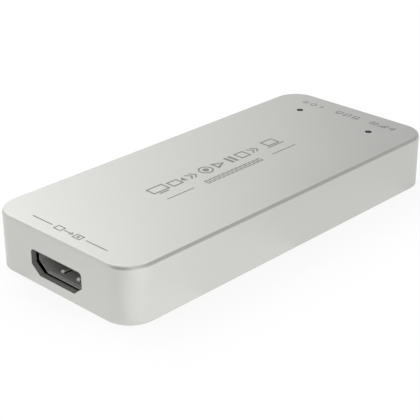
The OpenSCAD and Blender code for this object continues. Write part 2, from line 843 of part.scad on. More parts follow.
module data_port_contacts() {
    half = data_contact_w / 2;
    color("gold") for (lobe = data_lobes) translate([lobe[0], 0, 0]) row_x(data_row_n, data_pitch)
        along_x(-half, half) data_contact_section();
}

// Lamps

// Light pipe: rod over the lamp, shoulder in its pocket, stem in the hole
module light_pipe() {
    rod_r = pipe_rod_d / 2;
    shoulder_r = pipe_shoulder_d / 2 - fit_gap;
    stem_r = lamp_hole_d / 2 - fit_gap;
    shoulder_top = ceiling + pipe_shoulder_t - fit_gap;
    stem_top = case_h - lamp_sink;
    rotate_extrude() polygon([[0, pipe_bottom], [rod_r, pipe_bottom], [rod_r, ceiling],
        [shoulder_r, ceiling], [shoulder_r, shoulder_top], [stem_r, shoulder_top],
        [stem_r, stem_top], [0, stem_top]]);
}

// Lamp: base with two ends and a clear window
module lamp() {
    base_h = lamp_h / 2;
    window_l = lamp_l * 0.6;
    block(lamp_l, lamp_w, base_h);
    translate([0, 0, base_h]) moulded(window_l, lamp_w, lamp_h - base_h);
}

module power_light_pipe() {
    color("darkslategray") translate([-lamp_x, lamp_y, 0]) light_pipe();
}

module status_light_pipe() {
    color("darkslategray") translate([lamp_x, lamp_y, 0]) light_pipe();
}

module power_led() {
    color("aquamarine") translate([-lamp_x, lamp_y, board_top]) lamp();
}

module status_led() {
    color("lightblue") translate([lamp_x, lamp_y, board_top]) lamp();
}

// Chips

// Ball-grid package: flat carrier and moulded cap
module grid_package(w, l, h, rim_w) {
    block(w, l, carrier_t);
    translate([0, 0, carrier_t]) moulded(w - 2 * rim_w, l - 2 * rim_w, h - carrier_t);
}

module video_processor() {
    color("darkslategray") translate([0, processor_y, board_top])
        grid_package(processor_w, processor_w, processor_h, carrier_rim);
}

module data_controller() {
    color("darkslategray") translate([0, controller_y, board_top])
        grid_package(controller_w, controller_w, controller_h, carrier_rim / 2);
}

module memory_chips() {
    color("darkslategray") on_both_sides(memory_x, processor_y, board_top)
        grid_package(memory_w, memory_l, memory_h, carrier_rim / 4);
}

module receiver_chip() {
    color("darkslategray") translate([0, receiver_y, board_top]) moulded(receiver_w, receiver_w, receiver_h);
}

module receiver_leads() {
    color("silver") translate([0, receiver_y, board_top]) for (turn = [0, 90]) rotate([0, 0, turn])
        lead_rows(receiver_leads_n, receiver_pitch, receiver_w / 2, receiver_h / 3);
}

module flash_chip() {
    color("darkslategray") translate([-flash_x, flash_y, board_top]) moulded(flash_l, flash_w, flash_h);
}

module flash_leads() {
    color("silver") translate([-flash_x, flash_y, board_top]) 
        lead_rows(flash_leads_n, flash_pitch, flash_w / 2, flash_h / 3);
}

module processor_thermal_pad() {
    color("lightpink") translate([0, processor_y, processor_top])
        linear_extrude(pad_t) rounded_rect(processor_pad_w, processor_pad_w, pad_r);
}

module receiver_thermal_pad() {
    color("lightpink") translate([0, receiver_y, receiver_top])
        linear_extrude(pad_t) rounded_rect(receiver_pad_w, receiver_pad_w, pad_r);
}

// Power pieces

module regulators() {
    color("darkslategray") on_both_sides(regulator_x, power_y, board_top)
        moulded(regulator_l, regulator_w, regulator_h);
}

module regulator_leads() {
    color("silver") on_both_sides(regulator_x, power_y, board_top)
        lead_rows(regulator_leads_n, regulator_pitch, regulator_w / 2, regulator_h / 3);
}

// Drum-cored inductor body with waisted corners
module power_inductors() {
    color("dimgray") on_both_sides(inductor_x, power_y, board_top + terminal_t)
        linear_extrude(inductor_h - terminal_t) rounded_rect(inductor_w, inductor_w, inductor_w / 5);
}

module inductor_terminals() {
    strip_w = inductor_w / 4;
    color("silver") on_both_sides(inductor_x, power_y, board_top)
        for (s = [-1, 1]) translate([0, s * inductor_w / 4, 0]) block(inductor_w / 2, strip_w, terminal_t);
}

module tantalum_capacitors() {
    color("goldenrod") on_both_sides(inductor_x, tantalum_y, board_top)
        moulded(tantalum_l, tantalum_w, tantalum_h);
}

// Small pieces

module ceramic_capacitors() {
    color("tan") translate([0, 0, board_top]) {
        on_both_sides(receiver_caps_x, receiver_y, 0) rotate([0, 0, 90]) row_x(5, small_pitch)
            rotate([0, 0, 90]) end_capped(capacitor_l, capacitor_w, capacitor_h);
        translate([0, decouple_y, 0]) row_x(6, small_pitch) end_capped(capacitor_l, capacitor_w, capacitor_h);
        translate([0, data_caps_y, 0]) row_x(4, small_pitch)
            rotate([0, 0, 90]) end_capped(capacitor_l, capacitor_w, capacitor_h);
    }
}

module chip_resistors() {
    color("darkslategray") translate([0, resistor_y, board_top]) row_x(7, small_pitch)
        end_capped(resistor_l, resistor_w, resistor_h);
}

module crystals() {
    color("silver") {
        for (place = [[flash_x, flash_y], [-clock_x, controller_y]])
            translate([place[0], place[1], board_top])
                linear_extrude(crystal_h) rounded_rect(crystal_l, crystal_w, crystal_r);
    }
}

module esd_arrays() {
    color("darkslategray") translate([video_x, esd_y, board_top])
        row_x(esd_n, esd_l + esd_gap) moulded(esd_l, esd_w, esd_h);
}

case_shell();
bottom_cover();
cover_screws();
insulating_sheet();
main_board();
board_screws();
video_port_bezel();
video_port_shell();
video_port_insulator();
video_port_contacts();
data_port_shell();
data_port_insulator();
data_port_contacts();
power_light_pipe();
status_light_pipe();
power_led();
status_led();
video_processor();
receiver_chip();
receiver_leads();
data_controller();
memory_chips();
flash_chip();
flash_leads();
processor_thermal_pad();
receiver_thermal_pad();
regulators();
regulator_leads();
power_inductors();
inductor_terminals();
tantalum_capacitors();
ceramic_capacitors();
chip_resistors();
crystals();
esd_arrays();
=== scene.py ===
"""The looks of a slim video capture box: finishes, eased edges, printed marks, floor, light and camera."""
import json
import math
from functools import partial

import bmesh
import bpy
from mathutils import Matrix, Vector


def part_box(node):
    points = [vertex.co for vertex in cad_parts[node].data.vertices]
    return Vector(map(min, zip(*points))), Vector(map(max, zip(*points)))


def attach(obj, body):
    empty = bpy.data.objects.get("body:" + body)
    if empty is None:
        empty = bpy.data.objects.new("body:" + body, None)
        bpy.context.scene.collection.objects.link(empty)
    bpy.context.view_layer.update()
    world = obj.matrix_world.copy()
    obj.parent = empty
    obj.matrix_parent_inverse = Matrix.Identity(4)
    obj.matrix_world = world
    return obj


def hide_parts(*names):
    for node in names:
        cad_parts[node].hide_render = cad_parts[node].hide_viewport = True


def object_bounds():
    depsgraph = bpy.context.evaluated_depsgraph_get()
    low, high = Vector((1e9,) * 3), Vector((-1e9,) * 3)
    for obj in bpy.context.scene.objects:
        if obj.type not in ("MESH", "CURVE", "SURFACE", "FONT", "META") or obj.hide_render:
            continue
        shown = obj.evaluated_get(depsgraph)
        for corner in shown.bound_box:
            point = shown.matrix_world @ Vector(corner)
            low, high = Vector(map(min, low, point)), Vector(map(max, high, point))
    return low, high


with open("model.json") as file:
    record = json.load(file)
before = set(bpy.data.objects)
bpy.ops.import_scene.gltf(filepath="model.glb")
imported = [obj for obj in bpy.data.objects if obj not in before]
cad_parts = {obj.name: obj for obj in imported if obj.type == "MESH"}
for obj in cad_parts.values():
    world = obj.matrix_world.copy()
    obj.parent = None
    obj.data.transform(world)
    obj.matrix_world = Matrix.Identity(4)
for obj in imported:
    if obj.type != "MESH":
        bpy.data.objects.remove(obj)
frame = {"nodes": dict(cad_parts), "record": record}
CAD_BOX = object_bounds()

MM = 0.001
BODY = "root"
COLOURS = {row["slot"]: tuple(row["base_color"]) for row in frame["record"]["materials"]}
SLOTS = {row["node"]: row["material_slot"] for row in frame["record"]["subparts"]}
MOUNTS = {row["name"]: row["pos_m"] for row in frame["record"]["mounts"]}
CASE_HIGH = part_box("case_shell")[1]

# Camera, as the photograph was taken (millimetres and degrees)
VIEW_TARGET = Vector((0, 0, 7))
VIEW_AZIMUTH = 44.165
VIEW_ELEVATION = 25.579
VIEW_DISTANCE = 263.47
VIEW_ROLL = -0.35
VIEW_SIDEWAYS = -3.134
VIEW_UPWARDS = -4.538
FOCAL_LENGTH = 103.65
SENSOR_WIDTH = 36
CLIP_START = 10

# Eased edges (millimetres)
CASE_EASE = 0.09
OPENING_EASE = 0.03
EASE_STEPS = 2
WELD = 1e-4
CASE_CORNER = 6.0
CASE_REACH = 0.35
SKIN = 0.01
RIM_HIGH = 0.9
FLAT_ANGLE = math.radians(0.4)
SHARP_ANGLE = math.radians(15)
CREASE_ANGLE = math.radians(40)
FLAT_WEIGHT = 90

# Where the video socket is painted bright, a painted highlight together with the rub of plugs: at its mouth,
# and on the crests of its springs (millimetres)
SOCKET_MIDDLE, SOCKET_FACE, SOCKET_AXIS = (place / MM for place in MOUNTS["video_input"])
SOCKET_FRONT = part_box("video_port_shell")[0].y / MM
MOUTH_REACH = 0.7
MOUTH_FROM_AXIS = 2.2
MOUTH_HALF = 4.8
CREST_FROM_AXIS = (1.75, 2.12)
SPRING_REACH = 3.4
LIT_RUBBED_TIN = (0.78, 0.78, 0.76)

# How deep the painted shade on the front rim of the socket's liner goes (millimetres)
LINER_SHADE_DEPTH = 0.05

# Lamps, one on each side: the axis of a light pipe, and a paler disc in the middle of its lens (millimetres)
PIPE_LOW, PIPE_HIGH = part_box("power_light_pipe")
LENS_X = abs(PIPE_LOW.x + PIPE_HIGH.x) / 2 / MM
LENS_Y = (PIPE_LOW.y + PIPE_HIGH.y) / 2 / MM
LENS_DISC = 0.42
LENS_GLIMMER = (0.085, 0.085, 0.08)

# Printed marks on the top (millimetres)
INK_HIGH = 0.02
INK_DEEP = 0.01
INK_DARK = (0.20, 0.20, 0.195)
INK_PALE = (0.27, 0.27, 0.265)
RULE_WIDE = 0.26
LINE_WIDE = 0.36
FINE_LINE = 0.24
CIRCLE_STEPS = 48
ARC_STEPS = 32
ROW_X = -1.7
ROW_HALF = 1.75
STRIP_X = 2.95
STRIP_FRAMES = 13
STRIP_PITCH = 1.35
STRIP_RULE_Y = (12.3, 20.0)
PORT_Y = -43.6
PORT_RULE_X = (5.0, 11.1)
PORT_SIGN_X = 2.8
SIGNS_Y = 42.5
SIGNS_X = (-10.15, 0.25, 10.65)
SIGN_STEP = 2.5

# Floor and studio (metres, and brightness next to white)
FLOOR_DROP = 0.02 * MM
FLOOR_SIZE = 6.0
FLOOR_STEPS = 8
FLOOR_GLOW = 0.80
FLOOR_TONE = 0.24
FLOOR_BOUNCE = 0.75
AMBIENT = 0.75
WHITE = (1, 1, 1)
COOL_WHITE = (0.985, 0.985, 1.01)
CARD_DISTANCE = 1.2
CARD_STEPS = 12

# Where the cards on the floor begin, just clear of the case (millimetres)
FOOT_GAP = 0.1
SIDE_FOOT = CASE_HIGH.x / MM + FOOT_GAP
END_FOOT = CASE_HIGH.y / MM + FOOT_GAP

# Sockets of a Mix node for colours: the two colours, and the result
MIX_FIRST = 6
MIX_SECOND = 7
MIX_RESULT = 2


class Value:
    """A shader socket that takes part in Python sums."""

    def __init__(self, finish, socket):
        self.finish = finish
        self.socket = socket

    def combine(self, operation, first, second):
        """The Math node for one operation on two values."""
        return self.finish.node("ShaderNodeMath", {"operation": operation}, {0: first, 1: second})

    def __add__(self, other):
        return self.combine("ADD", self, other)

    def __sub__(self, other):
        return self.combine("SUBTRACT", self, other)

    def __rsub__(self, other):
        return self.combine("SUBTRACT", other, self)

    def __mul__(self, other):
        return self.combine("MULTIPLY", self, other)

    def __gt__(self, other):
        return self.combine("GREATER_THAN", self, other)

    def __lt__(self, other):
        return self.combine("LESS_THAN", self, other)

    def __abs__(self):
        return self.finish.node("ShaderNodeMath", {"operation": "ABSOLUTE"}, {0: self})

    __radd__ = __add__
    __rmul__ = __mul__


class Finish:
    """A node tree in the making: a material's, or the world's."""

    def __init__(self, holder):
        holder.use_nodes = True
        self.holder = holder
        self.tree = holder.node_tree

    def feed(self, socket, value):
        """Links a value to a socket, or sets a plain number or colour on it."""
        if isinstance(value, Value):
            self.tree.links.new(value.socket, socket)
        else:
            socket.default_value = value

    def node(self, kind, settings=None, sockets=None, output=0):
        """A new node, with its settings and then its sockets set, and one of its outputs as a value."""
        node = self.tree.nodes.new(kind)
        for name, value in (settings or {}).items():
            setattr(node, name, value)
        for key, value in (sockets or {}).items():
            self.feed(node.inputs[key], value)
        return Value(self, node.outputs[output]) if node.outputs else None

    def principled(self, sockets):
        """The finished material, once its principled shader is fed."""
        shader = self.tree.nodes["Principled BSDF"]
        for name, value in sockets.items():
            self.feed(shader.inputs[name], value)
        return self.holder

    def place(self):
        """Where a point lies in the object's own frame, in millimetres."""
        metres = self.node("ShaderNodeTexCoord", output="Object")
        return self.node("ShaderNodeVectorMath", {"operation": "SCALE"}, {0: metres, "Scale": 1 / MM})

    def place_along(self, axis):
        """How far a point lies along one of the frame's axes, in millimetres."""
        return self.node("ShaderNodeSeparateXYZ", None, {"Vector": self.place()}, output=axis)

    def noise(self, size, detail=2.0, roughness=0.5, stretch=(1, 1, 1)):
        """Cloudy noise from 0 to 1, with spots of about the given size in millimetres."""
        at = self.node("ShaderNodeVectorMath", {"operation": "MULTIPLY"}, {0: self.place(), 1: stretch})
        sockets = {"Vector": at, "Scale": 1 / size, "Detail": detail, "Roughness": roughness}
        return self.node("ShaderNodeTexNoise", None, sockets)

    def streaks(self, size):
        """Fine noise drawn out along the length, as rolled and drawn sheet metal has it."""
        return self.noise(size, detail=3.0, stretch=(1, 0.08, 1))

    def cells(self, size):
        """Distance to the middle of the nearest cell, for grains of the given size in millimetres."""
        return self.node("ShaderNodeTexVoronoi", None, {"Vector": self.place(), "Scale": 1 / size})

    def mix(self, share, first, second):
        """A colour between two others."""
        sockets = {"Factor": share, MIX_FIRST: opaque(first), MIX_SECOND: opaque(second)}
        return self.node("ShaderNodeMix", {"data_type": "RGBA"}, sockets, output=MIX_RESULT)

    def shades(self, share, colour, dark, light):
        """A colour that drifts between a darker and a lighter shade of itself."""
        return self.mix(share, shade(colour, dark), shade(colour, light))

    def bump(self, height, strength, depth):
        """A surface normal from a height, whose full range is the given depth in millimetres."""
        sockets = {"Strength": strength, "Distance": depth * MM, "Height": height}
        return self.node("ShaderNodeBump", None, sockets)

    def seen(self):
        """1 for rays that show the studio itself, straight, in gloss or through glass, and 0 for the rest."""
        rays = ("Is Camera Ray", "Is Glossy Ray", "Is Transmission Ray")
        straight, gloss, through = (self.node("ShaderNodeLightPath", output=ray) for ray in rays)
        return straight + gloss + through > 0.5


def opaque(colour):
    """A colour as a socket wants it."""
    return colour if isinstance(colour, Value) else (*colour, 1.0)


def shade(colour, factor):
    """A colour made lighter or darker."""
    return tuple(channel * factor for channel in colour)


def new_finish(name):
    """A new material, with its principled shader not yet fed."""
    return Finish(bpy.data.materials.new(name + "_finish"))


# Finishes

def blasted_aluminium(slot):
    """Clear anodised aluminium, blasted with fine beads: tiny dimples, and a faint drift of tone."""
    finish = new_finish(slot)
    dimples = finish.noise(size=0.11, detail=3.0, roughness=0.6)
    drift = finish.noise(size=14.0)
    return finish.principled({
        "Base Color": finish.shades(dimples * 0.6 + drift * 0.4, COLOURS[slot], dark=0.95, light=1.05),
        "Metallic": 1.0,
        "Roughness": dimples * 0.10 + drift * 0.04 + 0.40,
        "Normal": finish.bump(dimples, strength=0.25, depth=0.012),
    })


def plated_sheet(slot, roughness, streak):
    """Formed and plated sheet metal, with faint drawing streaks along its length."""
    finish = new_finish(slot)
    streaks = finish.streaks(size=streak)
    stains = finish.noise(size=1.6)
    return finish.principled({
        "Base Color": finish.shades(streaks * 0.5 + stains * 0.5, COLOURS[slot], dark=0.86, light=1.12),
        "Metallic": 1.0,
        "Roughness": streaks * 0.16 + roughness,
        "Normal": finish.bump(streaks, strength=0.15, depth=0.006),
    })


def dull_tin(slot):
    """Dull tin plate, painted paler at the mouth and on the crests of the springs: a painted highlight,
    together with the rub of plugs.
    """
    finish = new_finish(slot)
    streaks = finish.streaks(size=0.12)
    stains = finish.noise(size=1.6)
    dull = finish.shades(streaks * 0.5 + stains * 0.5, COLOURS[slot], dark=0.72, light=0.94)
    from_axis = abs(finish.place_along("Z") - SOCKET_AXIS)
    aside = abs(finish.place_along("X") - SOCKET_MIDDLE)
    in_front = finish.place_along("Y") < SOCKET_FRONT + MOUTH_REACH
    low, high = CREST_FROM_AXIS
    crest = (from_axis > low) * (from_axis < high) * (aside < SPRING_REACH)
    mouth = (from_axis > MOUTH_FROM_AXIS) * (aside < MOUTH_HALF) * in_front
    # Painted highlight: the tin is paler at the mouth and on the crests, where they catch the light, together
    # with the rub of plugs.
    highlit_and_rubbed = mouth + (1 - mouth) * crest
    return finish.principled({
        "Base Color": finish.mix(highlit_and_rubbed, dull, LIT_RUBBED_TIN),
        "Metallic": highlit_and_rubbed * 0.1 + 0.3,
        "Roughness": streaks * 0.16 + 0.40 - highlit_and_rubbed * 0.1,
        "Normal": finish.bump(streaks, strength=0.15, depth=0.006),
    })


def plated_screws(slot):
    """Dark plated screws, with brighter patches as if worn by the driver."""
    finish = new_finish(slot)
    rub = finish.noise(size=0.5, detail=4.0, roughness=0.7)
    return finish.principled({
        "Base Color": finish.shades(rub, COLOURS[slot], dark=0.75, light=1.35),
        "Metallic": 1.0,
        "Roughness": rub * 0.2 + 0.24,
        "Normal": finish.bump(rub, strength=0.2, depth=0.01),
    })


def moulded_plastic(slot, roughness, grain):
    """Moulded plastic with the fine spark grain of its tool."""
    finish = new_finish(slot)
    spark = finish.cells(size=grain)
    flow = finish.noise(size=3.0)
    return finish.principled({
        "Base Color": finish.shades(spark * 0.4 + flow * 0.6, COLOURS[slot], dark=0.85, light=1.2),
        "Roughness": spark * 0.12 + roughness,
        "Normal": finish.bump(spark, strength=0.3, depth=0.012),
    })


def liner_plastic(slot):
    """Moulded satin plastic, with painted shade that darkens its thin front rim."""
    finish = new_finish(slot)
    colour = COLOURS[slot]
    spark = finish.cells(size=0.1)
    flow = finish.noise(size=3.0)
    unshaded = finish.shades(spark * 0.4 + flow * 0.6, colour, dark=0.9, light=1.25)
    # Painted shade: the thin front rim of the liner is darkened, as if in shadow.
    rim = finish.place_along("Y") < SOCKET_FACE + LINER_SHADE_DEPTH
    return finish.principled({
        "Base Color": finish.mix(rim * 0.8, unshaded, shade(colour, 0.2)),
        "Roughness": spark * 0.12 + rim * 0.2 + 0.42,
        "Normal": finish.bump(spark, strength=0.3, depth=0.012),
    })


def smoked_lens(slot):
    """Smoked clear plastic: nearly black, faintly glossy, and paler in a small disc in its middle."""
    finish = new_finish(slot)
    haze = finish.noise(size=0.4)
    smoke = finish.shades(haze, COLOURS[slot], dark=0.7, light=1.4)
    across = abs(finish.place_along("X")) - LENS_X
    along = finish.place_along("Y") - LENS_Y
    paler_disc = across * across + along * along < LENS_DISC ** 2
    return finish.principled({
        "Base Color": finish.mix(paler_disc, smoke, LENS_GLIMMER),
        "Specular IOR Level": 0.03,
        "Roughness": haze * 0.1 + 0.2,
    })


def lamp_resin(slot):
    """The clear resin of a small lamp, a little cloudy."""
    finish = new_finish(slot)
    cloud = finish.noise(size=0.5, detail=3.0)
    return finish.principled({
        "Base Color": finish.shades(cloud, COLOURS[slot], dark=0.75, light=1.1),
        "IOR": 1.5,
        "Roughness": cloud * 0.15 + 0.12,
    })


def gold_contacts(slot):
    """Gold flashed contacts, a little worn along the way that the plug slides."""
    finish = new_finish(slot)
    wear = finish.noise(size=0.25, detail=3.0, stretch=(1, 0.15, 1))
    return finish.principled({
        "Base Color": finish.shades(wear, COLOURS[slot], dark=0.8, light=1.1),
        "Metallic": 1.0,
        "Roughness": wear * 0.15 + 0.2,
    })


def solder_mask(slot):
    """Black solder mask, a little raised over the copper tracks."""
    finish = new_finish(slot)
    tracks = finish.node("ShaderNodeTexBrick", {"offset": 0.5, "squash": 0.6}, {
        "Vector": finish.place(),
        "Scale": 0.9,
        "Mortar Size": 0.03,
        "Mortar Smooth": 0.2,
    }, output="Fac")
    weave = finish.noise(size=0.5, detail=3.0)
    return finish.principled({
        "Base Color": finish.shades(tracks * 0.7 + weave * 0.3, COLOURS[slot], dark=0.8, light=2.2),
        "Coat Weight": 0.25,
        "Roughness": weave * 0.15 + 0.3,
        "Normal": finish.bump(tracks, strength=0.3, depth=0.03),
    })


def tinned(slot):
    """Matt tin: slightly lumpy, with dull patches."""
    finish = new_finish(slot)
    lumps = finish.noise(size=0.2, detail=3.0)
    return finish.principled({
        "Base Color": finish.shades(lumps, COLOURS[slot], dark=0.8, light=1.15),
        "Metallic": 1.0,
        "Roughness": lumps * 0.25 + 0.28,
        "Normal": finish.bump(lumps, strength=0.3, depth=0.02),
    })


def grainy(slot, roughness, grain, spread):
    """A dull pressed or fired body, speckled with grains."""
    finish = new_finish(slot)
    specks = finish.noise(size=grain, detail=4.0, roughness=0.7)
    return finish.principled({
        "Base Color": finish.shades(specks, COLOURS[slot], dark=1 - spread, light=1 + spread),
        "Roughness": specks * 0.2 + roughness,
        "Normal": finish.bump(specks, strength=0.35, depth=0.02),
    })


def printed_ink():
    """Grey pad print: a thin matt film that lets a little of the blasted grain through."""
    finish = new_finish("ink")
    grain = finish.noise(size=0.12, detail=3.0)
    return finish.principled({
        "Base Color": finish.mix(grain, INK_DARK, INK_PALE),
        "Roughness": grain * 0.15 + 0.45,
        "Normal": finish.bump(grain, strength=0.2, depth=0.006),
    })


FINISHES = {
    "case_aluminium": blasted_aluminium,
    "cover_aluminium": blasted_aluminium,
    "screw_steel": plated_screws,
    "insulating_film": partial(moulded_plastic, roughness=0.3, grain=0.8),
    "board_laminate": solder_mask,
    "bezel_plastic": liner_plastic,
    "video_shell_metal": dull_tin,
    "insulator_plastic": partial(moulded_plastic, roughness=0.5, grain=0.12),
    "contact_metal": gold_contacts,
    "data_shell_metal": partial(plated_sheet, roughness=0.26, streak=0.12),
    "smoked_plastic": smoked_lens,
    "lamp_resin": lamp_resin,
    "chip_mould": partial(moulded_plastic, roughness=0.5, grain=0.07),
    "tinned_leads": tinned,
    "thermal_pad": partial(grainy, roughness=0.6, grain=0.3, spread=0.15),
    "ferrite": partial(grainy, roughness=0.45, grain=0.15, spread=0.4),
    "tantalum_case": partial(moulded_plastic, roughness=0.35, grain=0.1),
    "capacitor_ceramic": partial(grainy, roughness=0.4, grain=0.15, spread=0.15),
    "resistor_ceramic": partial(grainy, roughness=0.3, grain=0.2, spread=0.3),
    "crystal_can": partial(plated_sheet, roughness=0.25, streak=0.3),
}


def dress_nodes():
    """Every CAD piece takes the finish of its slot."""
    materials = {slot: make(slot) for slot, make in FINISHES.items()}
    for node, slot in SLOTS.items():
        for holder in frame["nodes"][node].material_slots:
            holder.material = materials[slot]


# Eased edges

def plan_depth(x, y):
    """How far a point lies inside the case's outline, seen from above."""
    radius = CASE_CORNER * MM
    across = abs(x) - (CASE_HIGH.x - radius)
    along = abs(y) - (CASE_HIGH.y - radius)
    if across > 0 and along > 0:
        return radius - math.hypot(across, along)
    return min(CASE_HIGH.x - abs(x), CASE_HIGH.y - abs(y))


def at_opening(vert):
    """Whether a point lies on the mouth of a socket's cut-out or of a lamp hole."""
    x, y, z = vert.co
    on_wall = plan_depth(x, y) < SKIN * MM and RIM_HIGH * MM < z < CASE_HIGH.z - RIM_HIGH * MM
    on_top = plan_depth(x, y) > RIM_HIGH * MM and z > CASE_HIGH.z - SKIN * MM
    return on_wall or on_top


def at_rim(vert):
    """Whether a point lies on the outer rims of the case: round its foot and along its bevel."""
    x, y, z = vert.co
    outside = min(plan_depth(x, y), CASE_HIGH.z - z) < CASE_REACH * MM
    return outside and not at_opening(vert)


def anywhere(vert):
    """True of every point."""
    return True


def eased(node, name, *easings):
    """A piece like a CAD node, with its sharp edges eased.

    Each easing is a test that an edge's ends must pass, and a width in millimetres.
    """
    source = frame["nodes"][node]
    form = bmesh.new()
    form.from_mesh(source.data)
    bmesh.ops.remove_doubles(form, verts=form.verts, dist=WELD * MM)
    bmesh.ops.dissolve_limit(form, angle_limit=FLAT_ANGLE, verts=form.verts, edges=form.edges)
    for test, width in easings:
        sharp = [
            edge for edge in form.edges
            if edge.is_manifold and edge.calc_face_angle() > SHARP_ANGLE and all(map(test, edge.verts))
        ]
        bmesh.ops.bevel(form, geom=sharp, offset=width * MM, offset_type="OFFSET", segments=EASE_STEPS,
                        profile=0.5, affect="EDGES", clamp_overlap=True)
    piece = mesh_piece(name, form, source.material_slots[0].material)
    smooth_weighted(piece)
    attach(piece, BODY)
    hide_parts(node)


def mesh_piece(name, form, material):
    """A new object from a finished mesh form, without the normals that a CAD mesh brings along."""
    mesh = bpy.data.meshes.new(name)
    form.to_mesh(mesh)
    form.free()
    normals = mesh.attributes.get("custom_normal")
    if normals:
        mesh.attributes.remove(normals)
    mesh.materials.clear()
    mesh.materials.append(material)
    piece = bpy.data.objects.new(name, mesh)
    bpy.context.scene.collection.objects.link(piece)
    return piece


def smooth_weighted(piece):
    """Smooth shading that leaves the large faces flat and turns only at the eased edges."""
    piece.data.shade_smooth()
    piece.data.set_sharp_from_angle(angle=CREASE_ANGLE)
    weighted = piece.modifiers.new("flat_faces", "WEIGHTED_NORMAL")
    weighted.keep_sharp = True
    weighted.weight = FLAT_WEIGHT


# Printed marks

class Print:
    """Marks in thin ink on the top of the case, drawn in millimetres in the frame's X and Y."""

    def __init__(self):
        self.form = bmesh.new()
        self.low = CASE_HIGH.z - INK_DEEP * MM
        self.high = CASE_HIGH.z + INK_HIGH * MM

    def rim(self, outline, z):
        """An outline's points at one height."""
        return [self.form.verts.new((x * MM, y * MM, z)) for x, y in outline]

    def wall(self, first, second):
        """A closed row of faces from one rim to another."""
        for i in range(len(first)):
            self.form.faces.new((first[i - 1], first[i], second[i], second[i - 1]))

    def patch(self, outline):
        """A closed outline, anticlockwise, filled with ink."""
        low = self.rim(outline, self.low)
        high = self.rim(outline, self.high)
        self.form.faces.new(high)
        self.form.faces.new(low[::-1])
        self.wall(low, high)

    def band(self, outer, inner):
        """Ink between two closed outlines of as many points, both anticlockwise."""
        outer_low = self.rim(outer, self.low)
        outer_high = self.rim(outer, self.high)
        inner_low = self.rim(inner, self.low)
        inner_high = self.rim(inner, self.high)
        self.wall(outer_low, outer_high)
        self.wall(outer_high, inner_high)
        self.wall(inner_high, inner_low)
        self.wall(inner_low, outer_low)

    def bar(self, start, end, width):
        """A straight line with square ends."""
        a = Vector(start)
        b = Vector(end)
        aside = (b - a).normalized().orthogonal() * (width / 2)
        self.patch([tuple(p) for p in (a - aside, b - aside, b + aside, a + aside)])

    def dot(self, centre, radius):
        """A filled round dot."""
        self.patch(circle(centre, radius))

    def arc(self, centre, radius, width, start, end):
        """A round line from one angle to another, in degrees."""
        angles = [start + (end - start) * i / ARC_STEPS for i in range(ARC_STEPS + 1)]
        outer = [on_circle(centre, radius + width / 2, angle) for angle in angles]
        inner = [on_circle(centre, radius - width / 2, angle) for angle in angles]
        self.patch(outer + inner[::-1])

    def ring(self, centre, radius, width):
        """A round line that closes on itself."""
        self.band(circle(centre, radius + width / 2), circle(centre, radius - width / 2))

    def frame_line(self, centre, half_x, half_y, width):
        """A rectangle's outline."""
        self.band(rectangle(centre, half_x, half_y), rectangle(centre, half_x - width, half_y - width))

    def chevron(self, tip, reach, spread, width, turn=0):
        """An arrow's head that points along +Y, or turned from there by some degrees."""
        thick = width * math.hypot(reach, spread) / spread
        left = [(0, 0), (-spread, -reach), (-spread, -reach - thick)]
        right = [(0, -thick), (spread, -reach - thick), (spread, -reach)]
        self.patch([turned(tip, point, turn) for point in left + right])

    def arrow(self, start, tip, head, width):
        """A straight arrow, whose shaft stops half its width short of its head."""
        a = Vector(start)
        b = Vector(tip)
        along = (b - a).normalized()
        turn = math.degrees(math.atan2(-along.x, along.y))
        self.bar(a, b - along * width * (math.sqrt(2) + 0.5), width)
        self.chevron(tip, head, head, width, turn)

    def triangle(self, centre, reach, width):
        """An outlined triangle that points along +Y, with slanted lines that thin towards its tip."""
        x, y = centre
        base = y - reach
        tip = y + reach
        slant = 2.2 * width
        outer = [(x - reach, base), (x + reach, base), (x, tip)]
        inner = [(x - reach + slant, base + width), (x + reach - slant, base + width), (x, tip - slant)]
        self.band(outer, inner)


def on_circle(centre, radius, degrees):
    """A point on a circle."""
    turn = math.radians(degrees)
    return centre[0] + radius * math.cos(turn), centre[1] + radius * math.sin(turn)


def circle(centre, radius):
    """The points of a circle, anticlockwise."""
    return [on_circle(centre, radius, 360 * i / CIRCLE_STEPS) for i in range(CIRCLE_STEPS)]


def rectangle(centre, half_x, half_y):
    """The corners of a rectangle, anticlockwise."""
    x, y = centre
    low = [(x - half_x, y - half_y), (x + half_x, y - half_y)]
    high = [(x + half_x, y + half_y), (x - half_x, y + half_y)]
    return low + high


def turned(origin, point, degrees):
    """A point turned round the zero point, then moved to an origin."""
    turn = math.radians(degrees)
    x, y = point
    return (origin[0] + x * math.cos(turn) - y * math.sin(turn),
            origin[1] + x * math.sin(turn) + y * math.cos(turn))


def screen_mark(ink, y):
    """A plain screen on a stand."""
    ink.frame_line((ROW_X - 0.35, y), half_x=1.4, half_y=2.3, width=LINE_WIDE)
    ink.bar((ROW_X + 1.57, y - 1.3), (ROW_X + 1.57, y + 1.3), width=LINE_WIDE)


def camera_mark(ink, y):
    """A plain video camera: its body and its lens."""
    ink.frame_line((ROW_X, y - 0.7), half_x=1.25, half_y=1.5, width=LINE_WIDE)
    ink.patch([(ROW_X, y + 1.1), (ROW_X + 1.1, y + 2.2), (ROW_X - 1.1, y + 2.2)])


def arrows_mark(ink, y):
    """Two arrow heads in a row."""
    for step in (-0.3, 0.9):
        ink.chevron((ROW_X, y + step), reach=1.0, spread=1.2, width=LINE_WIDE)


def record_mark(ink, y):
    """A ring with a dot in it, for recording."""
    ink.ring((ROW_X, y), radius=ROW_HALF - LINE_WIDE / 2, width=LINE_WIDE)
    ink.dot((ROW_X, y), radius=0.75)


def play_mark(ink, y):
    """A triangle, for playing."""
    ink.triangle((ROW_X, y), reach=1.5, width=LINE_WIDE)


